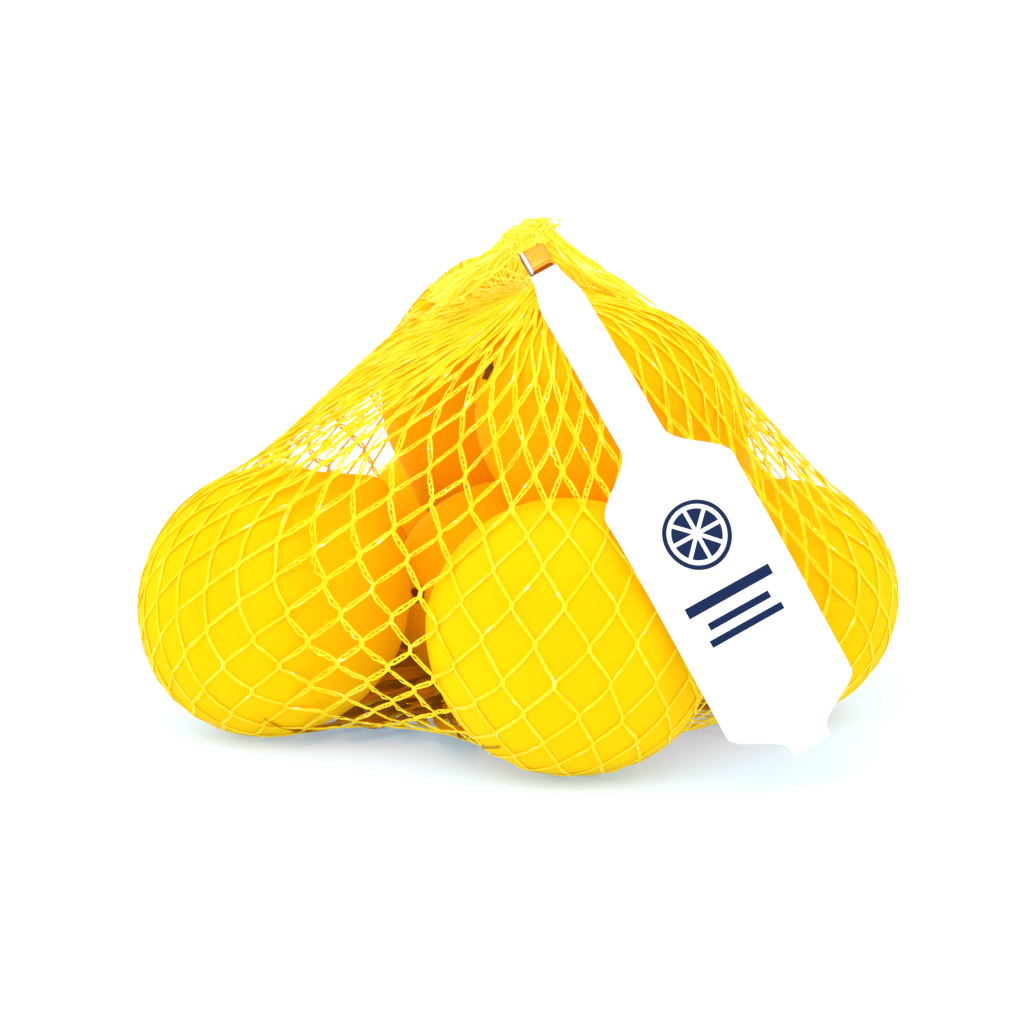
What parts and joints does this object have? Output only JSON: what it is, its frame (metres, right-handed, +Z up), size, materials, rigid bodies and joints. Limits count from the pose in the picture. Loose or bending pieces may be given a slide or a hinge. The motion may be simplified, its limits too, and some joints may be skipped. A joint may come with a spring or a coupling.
{
  "type": "net of lemons",
  "caption": "Knitted yellow net bag full of lemons, gathered at the top by a copper-coloured metal clip that also holds a long white hang label.",
  "frame": {"origin": "middle of the object's box, at the surface it rests on", "axes": "+Z up, -Y towards the front, where the label hangs, +X to the right seen from the front"},
  "size_m": [0.1665, 0.1993, 0.1112],
  "materials": {
    "net": "fine yellow knitted plastic net over waxy yellow lemon peel",
    "tuft": "bunched yellow plastic net",
    "clip": "shiny copper-coloured metal band, crimped flat",
    "label": "smooth white film label, slightly shiny"
  },
  "bodies": {
    "root": {"net_bag": "net", "net_tuft": "tuft", "clip": "clip", "label": "label"}
  },
  "joints": []
}
